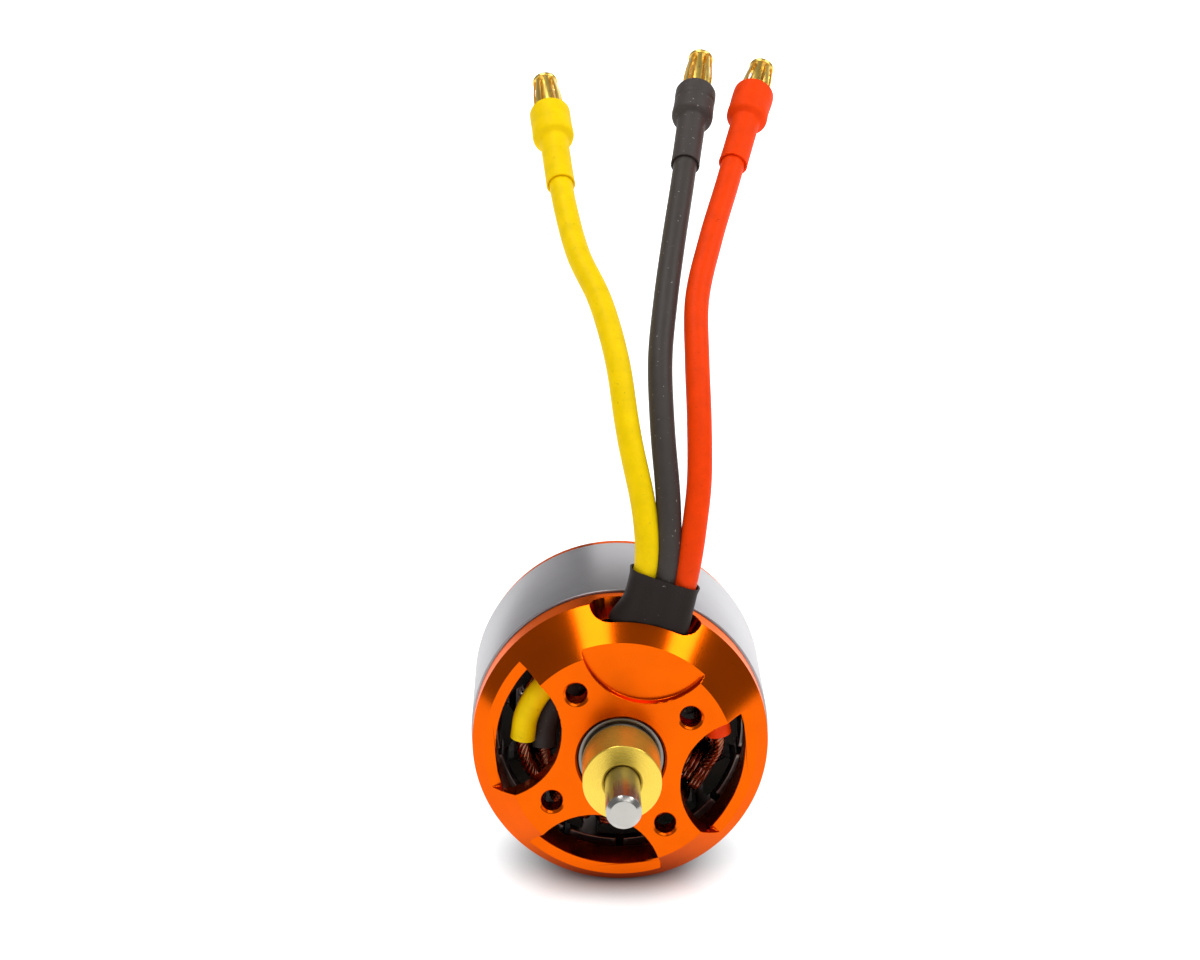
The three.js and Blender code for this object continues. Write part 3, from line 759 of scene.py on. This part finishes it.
def sleeve():
    """Flat shrink sleeve: a thin oval tube that opens out where it enters the slot."""
    rings, around = 28, 96
    outer, inner = [], []
    for i in range(rings + 1):
        for k in range(around):
            point, centre = sleeve_point(i / rings, 2 * math.pi * k / around)
            outer.append(point)
            inner.append(point + (centre - point).normalized() * SLEEVE_WALL)
    count = (rings + 1) * around
    faces = []
    for i in range(rings):
        for k in range(around):
            a, b = i * around + k, i * around + (k + 1) % around
            faces.append([a, b, b + around, a + around])
            faces.append([count + a, count + a + around, count + b + around, count + b])
    last = rings * around
    for k in range(around):
        b = (k + 1) % around
        faces.append([k, count + k, count + b, b])
        faces.append([last + k, last + b, count + last + b, count + last + k])
    made = make_object("lead_sleeve_shrink", [(outer + inner, faces)], 60)
    dress(made, "black_shrink", "base", "lead_sleeve")


sleeve()


# ---- fixed base --------------------------------------------------------------------------------
def threaded_hole(angle):
    """Cutter for a tapped hole: a countersunk mouth and a run of thread grooves."""
    depth, pitch, groove = FACE_THICKNESS + 0.6, 0.5, 0.22
    mouth, mouth_depth, thread_start = 0.8, 0.3, 0.35
    outline = [(0, -0.5), (HOLE_RADIUS + mouth, -0.5), (HOLE_RADIUS, mouth_depth)]
    y = thread_start
    while y < depth:
        outline += [(HOLE_RADIUS, y), (HOLE_RADIUS + groove, y + pitch / 2)]
        y += pitch
    outline += [(HOLE_RADIUS, y), (0, y)]
    return on_circle(lathe(outline, 48, closed=False), angle, HOLE_CIRCLE)


def slot_outline(round_end):
    """Outline of the lead slot with round ends, as (angle from its middle, y)."""
    steps, end_steps = 24, 12
    y0, y1 = SLOT_Y - SLOT_HALF_WIDTH, SLOT_Y + SLOT_HALF_WIDTH
    lower = [(-SLOT_HALF_ANGLE + 2 * SLOT_HALF_ANGLE * k / steps, y0) for k in range(steps + 1)]
    upper = [(SLOT_HALF_ANGLE - 2 * SLOT_HALF_ANGLE * k / steps, y1) for k in range(steps + 1)]
    ends = []
    for side, start in ((SLOT_HALF_ANGLE, -math.pi / 2), (-SLOT_HALF_ANGLE, math.pi / 2)):
        turns = [start + math.pi * k / end_steps for k in range(1, end_steps)]
        ends.append([(side + round_end * math.cos(t), SLOT_Y + SLOT_HALF_WIDTH * math.sin(t)) for t in turns])
    return [*lower, *ends[0], *upper, *ends[1]]


def slot_cutter():
    """Cutter for the lead slot: its outline, swept straight out from the motor axis."""
    inner, outer = 13.0, BASE_RADIUS + 1.5
    outline = slot_outline(SLOT_HALF_WIDTH / ((inner + outer) / 2))
    vertices = []
    for r in (inner, outer):
        for angle, y in outline:
            vertices.append((r * math.cos(SLOT_MIDDLE + angle), y, r * math.sin(SLOT_MIDDLE + angle)))
    count = len(outline)
    faces = [[k, (k + 1) % count, count + (k + 1) % count, count + k] for k in range(count)]
    hub = len(vertices)
    for r in (inner, outer):
        vertices.append((r * math.cos(SLOT_MIDDLE), SLOT_Y, r * math.sin(SLOT_MIDDLE)))
    faces += [[hub, (k + 1) % count, k] for k in range(count)]
    faces += [[hub + 1, count + k, count + (k + 1) % count] for k in range(count)]
    return vertices, faces


def mount_base():
    """Base with its chamfer, slot, three windows, pad, tapped holes and bearing tube."""
    seat, lip, clearance, edge = BEARING_SEAT, 0.25, 0.05, 0.09
    front_stop, rear_stop = BEARING_FRONT + BEARING_WIDTH + clearance, REAR_BEARING - clearance
    fillet = [(TUBE_RADIUS + 1 - math.sin(a), FACE_THICKNESS + 1 - math.cos(a))
              for a in (math.radians(15 * k) for k in range(7))]
    outline = [
        (seat + lip, 0), (FACE_RADIUS, 0), (BASE_RADIUS, CHAMFER_DEPTH), (BASE_RADIUS, BASE_DEPTH),
        (CAVITY_RADIUS, BASE_DEPTH), (CAVITY_RADIUS, FACE_THICKNESS), *fillet, (TUBE_RADIUS, TUBE_REAR),
        (seat, TUBE_REAR), (seat, rear_stop), (TUBE_BORE, rear_stop), (TUBE_BORE, front_stop),
        (seat, front_stop), (seat, lip),
    ]
    made = make_object("base_body", [lathe(eased(outline, edge), 192)])
    cutters = [slot_cutter()]
    for i in range(4):
        pocket = peg(POCKET_RADIUS, -1, PAD_DEPTH if i == PAD_PLACE else WINDOW_DEPTH, 144)
        cutters.append(on_circle(pocket, CLOCKING + i * math.pi / 2, POCKET_CENTRE))
    cut(made, cutters)
    break_edges(made, edge, limit=55)
    cut(made, [threaded_hole(CLOCKING + (i + 0.5) * math.pi / 2) for i in range(4)])
    smooth(made.data, 40)
    true_normals(made, outline)
    dress(made, "orange_aluminium", "base", "mount_base")


mount_base()


# ---- turned parts ------------------------------------------------------------------------------
RUNNING_GAP = 0.04      # between the shaft and the parts that sit on it


def turned(name, look, outline, node, ease, steps, closed=True):
    """A part of the rotor that is only turned."""
    made = make_object(name, [lathe(eased(outline, ease, closed), steps, closed)], 32)
    dress(made, look, "rotor", node)


def bearing(place, y0):
    """Shielded ball bearing: the outer ring, its two pressed shields, and the inner ring."""
    y1 = y0 + BEARING_WIDTH
    inside, outside = 4.25, 5.0
    outer = [(inside, y0), (outside, y0), (outside, y1), (inside, y1)]
    shield = [(3.05, 0.12), (3.2, 0.05), (4.05, 0.05), (4.2, 0.12), (4.3, 0.12), (4.3, 0.3), (3.05, 0.3)]
    parts = [lathe(eased(outer, 0.25), 96)]
    parts.append(lathe(eased([(r, y0 + d) for r, d in shield], 0.04), 96))
    parts.append(lathe(eased([(r, y1 - d) for r, d in shield], 0.04), 96))
    made = make_object(f"{place}_bearing_ring_and_shields", parts, 32)
    # The ring and shields take the darker copy of bright steel, painted shade for the recess they sit in.
    dress(made, "shaded_bearing_steel", "base", f"{place}_bearing_outer_ring", slot="bright_steel")
    bore, land = SHAFT_RADIUS + RUNNING_GAP, 2.79
    inner = [(bore, y0), (land, y0), (land, y1), (bore, y1)]
    turned(f"{place}_bearing_inner", "bright_steel", inner, f"{place}_bearing_inner_ring", 0.15, 96)


bearing("front", BEARING_FRONT)
bearing("rear", REAR_BEARING)


def can():
    inside = CAN_RADIUS - CAN_WALL
    outline = [(inside, CAN_FRONT), (CAN_RADIUS, CAN_FRONT), (CAN_RADIUS, CAN_REAR), (inside, CAN_REAR)]
    turned("can_ring", "can_steel", outline, "rotor_can", 0.1, 256)


def shaft():
    """Ground rod with a bevel at both ends."""
    bevel = 0.5
    outline = [
        (0, SHAFT_TIP), (SHAFT_RADIUS - bevel, SHAFT_TIP), (SHAFT_RADIUS, SHAFT_TIP + bevel),
        (SHAFT_RADIUS, SHAFT_REAR - bevel), (SHAFT_RADIUS - bevel, SHAFT_REAR), (0, SHAFT_REAR)]
    turned("shaft_rod", "bright_steel", outline, "shaft", 0.08, 96, closed=False)


def spacer():
    bore, rim = SHAFT_RADIUS + RUNNING_GAP, 2.9
    front, rear = low("shaft_spacer").y, high("shaft_spacer").y
    outline = [(bore, front), (rim, front), (rim, rear), (bore, rear)]
    turned("spacer_washer", "bright_steel", outline, "shaft_spacer", 0.12, 96)


can()
shaft()
spacer()


def set_screw(name, angle, y, outer, node):
    """Headless screw: a chamfered stud with thread grooves and a hexagon socket."""
    start, pitch, chamfer = SHAFT_RADIUS + 0.12, 0.5, 0.4
    root, crest = SCREW_RADIUS - 0.22, SCREW_RADIUS - 0.02
    socket_radius, socket_depth = 0.87, 1.3
    outline = [(0, start), (SCREW_RADIUS - chamfer, start)]
    r = start + 0.3
    while r < outer - chamfer:
        outline += [(root, r), (crest, r + pitch / 2)]
        r += pitch
    outline += [(root, outer - 0.12), (SCREW_RADIUS - chamfer, outer), (0, outer)]
    where = out_from_axis(angle, y)
    made = make_object(name, [moved(lathe(outline, 48, closed=False), where)], 32)
    cut(made, [moved(peg(socket_radius, outer - socket_depth, outer + 0.5, 6), where)])
    smooth(made.data, 32)
    dress(made, "black_steel", "rotor", node)


def screw_hole(angle, y, outer):
    return moved(peg(SCREW_RADIUS + 0.05, 1.0, outer, 48), out_from_axis(angle, y))


def collar():
    """Collar with a small chamfer at its bore, fixed by a set screw that sits just under its surface."""
    bore, chamfer = SHAFT_RADIUS + RUNNING_GAP, 0.25
    outline = [
        (bore + chamfer, COLLAR_FRONT), (COLLAR_RADIUS, COLLAR_FRONT), (COLLAR_RADIUS, COLLAR_REAR),
        (bore, COLLAR_REAR), (bore, COLLAR_FRONT + chamfer)]
    made = make_object("collar_ring", [lathe(outline, 128)])
    cut(made, [screw_hole(COLLAR_SCREW_ANGLE, COLLAR_SCREW_Y, COLLAR_RADIUS + 1)])
    break_edges(made, 0.14, 3)
    true_normals(made, outline)
    dress(made, "collar_brass", "rotor", "shaft_collar")
    set_screw("collar_screw", COLLAR_SCREW_ANGLE, COLLAR_SCREW_Y, COLLAR_RADIUS - 0.25, "collar_set_screw")


collar()


def bell():
    """Spoked end bell with a hub, clamped to the shaft by two set screws."""
    web_front, hub_front = BELL_REAR - BELL_WEB, low("rotor_bell").y
    seam, shoulder, rim_inside, spigot = CAN_REAR + 0.05, 1.4, 14.6, CAN_RADIUS - CAN_WALL - 0.05
    bore, spigot_front = SHAFT_RADIUS + RUNNING_GAP, CAN_REAR - 1.5
    windows, window_inner, window_outer, half_window = 6, 7.6, 13.8, math.radians(20)
    outline = [
        (bore, hub_front), (BELL_HUB_RADIUS, hub_front), (BELL_HUB_RADIUS, web_front),
        (rim_inside, web_front), (rim_inside, spigot_front), (spigot, spigot_front), (spigot, seam),
        (BELL_RADIUS, seam), (BELL_RADIUS, BELL_REAR - shoulder), (BELL_RADIUS - shoulder, BELL_REAR),
        (bore, BELL_REAR)]
    made = make_object("bell_body", [lathe(outline, 96)])
    cutters = []
    for i in range(windows):
        centre = i * math.pi / (windows / 2)
        cutters.append(sector(window_inner, window_outer, half_window, centre, web_front - 1, BELL_REAR + 1))
    for angle in BELL_SCREW_ANGLES:
        cutters.append(screw_hole(angle, BELL_SCREW_Y, BELL_HUB_RADIUS + 1))
    cut(made, cutters)
    break_edges(made, 0.12, 3)
    true_normals(made, outline)
    dress(made, "orange_aluminium", "rotor", "rotor_bell")
    for i, angle in enumerate(BELL_SCREW_ANGLES, 1):
        set_screw(f"bell_screw_{i}", angle, BELL_SCREW_Y, BELL_HUB_RADIUS - 0.35, f"bell_set_screw_{i}")


bell()


def magnets():
    """Arc magnets bonded side by side inside the can."""
    front, rear = low("magnet_01").y, high("magnet_01").y
    for i in range(MAGNET_COUNT):
        centre = 2 * math.pi * i / MAGNET_COUNT
        made = make_object(f"magnet_{i + 1:02d}_arc", [
            sector(MAGNET_INNER, MAGNET_OUTER, MAGNET_SPAN / 2, centre, front, rear, 16)])
        break_edges(made, 0.16)
        dress(made, "magnet_nickel", "rotor", f"magnet_{i + 1:02d}")


magnets()


# ---- windings -----------------------------------------------------------------------------------
WIRE_RADIUS = 0.29
LAYERS = ((8.75, 12.0, 6), (12.0, 9.6, 4), (10.6, 11.9, 3))     # first radius, last radius, turns
LAYER_PITCH = 1.82      # from one layer to the next, in wire radii
HALF_TOOTH, INSULATION = 1.42, 0.62     # half a tooth's width, and what covers each end of the stack
BULGE, LOOSENESS = 0.12, 0.05           # how far the turns stand off the ends, and how unevenly they lie
SQUARED = 0.4           # below 1, a turn follows the tooth's square section and not an ellipse


def coil(index):
    """One tooth's winding: a single wire laid in three layers round a slot-insulated tooth."""
    angle = 2 * math.pi * index / TOOTH_COUNT
    chance = random.Random(100 + index)
    outward = Vector((math.cos(angle), 0, math.sin(angle)))
    sideways = Vector((-math.sin(angle), 0, math.cos(angle)))
    middle = (STACK_FRONT + STACK_REAR) / 2
    half_stack = (STACK_REAR - STACK_FRONT) / 2 + INSULATION
    steps = 28
    path = []
    for layer, (first, last, turns) in enumerate(LAYERS):
        grow = WIRE_RADIUS * (1 + LAYER_PITCH * layer)
        loose = [chance.uniform(-LOOSENESS, LOOSENESS) for _ in range(turns + 1)]
        for k in range(turns * steps):
            turn, step = divmod(k, steps)
            theta = 2 * math.pi * step / steps
            c, s = math.cos(theta), math.sin(theta)
            across = (HALF_TOOTH + grow) * math.copysign(abs(c) ** SQUARED, c)
            reach = half_stack + grow + (BULGE + loose[turn]) * abs(s)
            along = reach * math.copysign(abs(s) ** SQUARED, s)
            radial = first + (last - first) * (turn + step / steps) / turns + loose[turn]
            path.append(outward * radial + sideways * across + Vector((0, middle + along, 0)))
    made = make_object(f"coil_{index + 1:02d}_turns", [sweep(path, WIRE_RADIUS, 8)], 60)
    dress(made, "copper_wire", "base", f"coil_{index + 1:02d}")


for number in range(TOOTH_COUNT):
    coil(number)


# Bare strands that join each lead to the windings behind it, in metres.
TAILS = {
    "yellow": [
        (-.0114, .0052, .0010), (-.0114, .0053, .0003), (-.0111, .0060, -.0020), (-.0105, .0072, -.0040),
        (-.0098, .0086, -.0054),
    ],
    "black": [
        (-.0089, .0067, -.0006), (-.0089, .0067, -.0013), (-.0088, .0071, -.0028), (-.0084, .0078, -.0042),
        (-.0078, .0086, -.0054),
    ],
    "red": [
        (.0115, .0052, .0014), (.0115, .0053, .0007), (.0114, .0062, -.0010), (.0109, .0074, -.0026),
        (.0101, .0086, -.0042),
    ],
}
STRAND_RADIUS, STRAND_PLACE = 0.24, 0.5     # each strand, and how far the outer ones lie from the middle one
OUTER_STRANDS = 6
TWIST = 1.6             # turns of the outer strands along a tail


def tail(colour):
    """One enamelled strand with the others twisted round it."""
    path = [p / MM for p in smooth_route(TAILS[colour], 10)]
    normal = (path[1] - path[0]).orthogonal().normalized()
    outer = [[] for _ in range(OUTER_STRANDS)]
    for i, point in enumerate(path):
        along = (path[min(i + 1, len(path) - 1)] - path[max(i - 1, 0)]).normalized()
        normal = (normal - along * normal.dot(along)).normalized()
        across = along.cross(normal)
        for k in range(OUTER_STRANDS):
            angle = 2 * math.pi * (k / OUTER_STRANDS + TWIST * i / len(path))
            outer[k].append(point + (normal * math.cos(angle) + across * math.sin(angle)) * STRAND_PLACE)
    parts = [sweep(line, STRAND_RADIUS, 8) for line in (path, *outer)]
    made = make_object(f"winding_tail_{colour}_strands", parts, 60)
    dress(made, "copper_wire", "base", f"winding_tail_{colour}")


for colour in COLOURS:
    tail(colour)


# ---- CAD nodes that keep their shape ---------------------------------------------------------------
CARRIED = {
    "stator_core": "lamination_steel", "stator_insulator_front": "slot_insulation",
    "stator_insulator_rear": "slot_insulation", "front_bearing_ball_cage": "cage_brass",
    "rear_bearing_ball_cage": "cage_brass",
}
for node_name, look_name in CARRIED.items():
    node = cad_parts[node_name]
    node.data.materials.clear()
    node.data.materials.append(LOOKS[look_name])


# ---- stage, in metres ------------------------------------------------------------------------------
PAPER_RADIUS, PAPER_GAP = 6.0, 0.00002
MOTOR_MIDDLE = (0.0, 0.014)             # x and y of the floor's centre, under the motor, where its painted shadow is darkest
# The floor's emission is painted light: nil within GLOW_START of the motor's middle, a painted contact
# shadow, then a painted glow that grows outwards.
GLOW_START, GLOW_BRIGHT, GLOW_END = 0.0065, 0.018, 0.4
NEAR_GLOW, FAR_GLOW = 0.90, 0.22        # gained up to GLOW_BRIGHT, and again up to GLOW_END


def floor():
    """A pale sheet with painted light: its emission is nil just under the motor, a painted contact shadow,
    and grows away from it into a painted glow, like a lit studio table.
    """
    place = (*MOTOR_MIDDLE, cad_bounds[0].z - PAPER_GAP)
    bpy.ops.mesh.primitive_circle_add(vertices=96, radius=PAPER_RADIUS, fill_type="NGON", location=place)
    sheet = bpy.context.object
    sheet.name = "floor"
    s = Shader("floor_painted_glow_and_shadow")
    grain = s.noise(s.place(), 300.0)
    s.put(Base_Color=s.ramp(grain, (0.3, (0.41, 0.41, 0.41)), (0.7, (0.43, 0.43, 0.43))), Roughness=0.24)
    s.put(Specular_IOR_Level=0.5)
    # Painted light: the emission is nil under the motor, a painted shadow, and rises to a painted glow
    # farther out.
    distance = s.add("ShaderNodeVectorMath", {0: s.place()}, operation="LENGTH").outputs["Value"]
    near = s.between(distance, 0.0, NEAR_GLOW, GLOW_START, GLOW_BRIGHT, "SMOOTHSTEP")
    far = s.between(distance, 0.0, FAR_GLOW, GLOW_BRIGHT, GLOW_END)
    s.put(Emission_Color=(1.0, 1.0, 1.0, 1.0), Emission_Strength=s.maths("ADD", near, far))
    sheet.data.materials.append(s.material)


floor()


def softbox(name, place, aim, width, depth, radiance):
    """An area light."""
    data = bpy.data.lights.new(name, "AREA")
    data.shape, data.size, data.size_y = "RECTANGLE", width, depth
    data.energy = radiance * math.pi * width * depth
    light = bpy.data.objects.new(name, data)
    light.location = place
    light.rotation_mode = "QUATERNION"
    light.rotation_quaternion = (Vector(aim) - Vector(place)).to_track_quat("-Z", "Y")
    bpy.context.scene.collection.objects.link(light)


# The two overhead ones make the pair of streaks on the chamfer.
softbox("overhead_left", (-0.105, 0.02, 0.40), (0.0, 0.02, 0.0), 0.30, 0.13, 5.5)
softbox("overhead_right", (0.296, 0.02, 0.37), (0.0, 0.02, 0.0), 0.30, 0.12, 6.0)
softbox("front", (0.25, -0.60, 0.70), (0.0, 0.0, 0.02), 0.60, 0.50, 1.8)
softbox("back_left", (-0.90, 1.50, 0.30), (0.0, 0.0, 0.02), 1.40, 0.60, 0.38)
softbox("back_right", (0.60, 1.50, 0.30), (0.0, 0.0, 0.02), 1.60, 0.60, 1.3)

world = bpy.data.worlds.new("studio")
world.use_nodes = True
background = world.node_tree.nodes["Background"]
background.inputs["Color"].default_value = (0.9, 0.9, 0.92, 1.0)
background.inputs["Strength"].default_value = 0.25
bpy.context.scene.world = world
bpy.context.scene.view_settings.view_transform = "Standard"
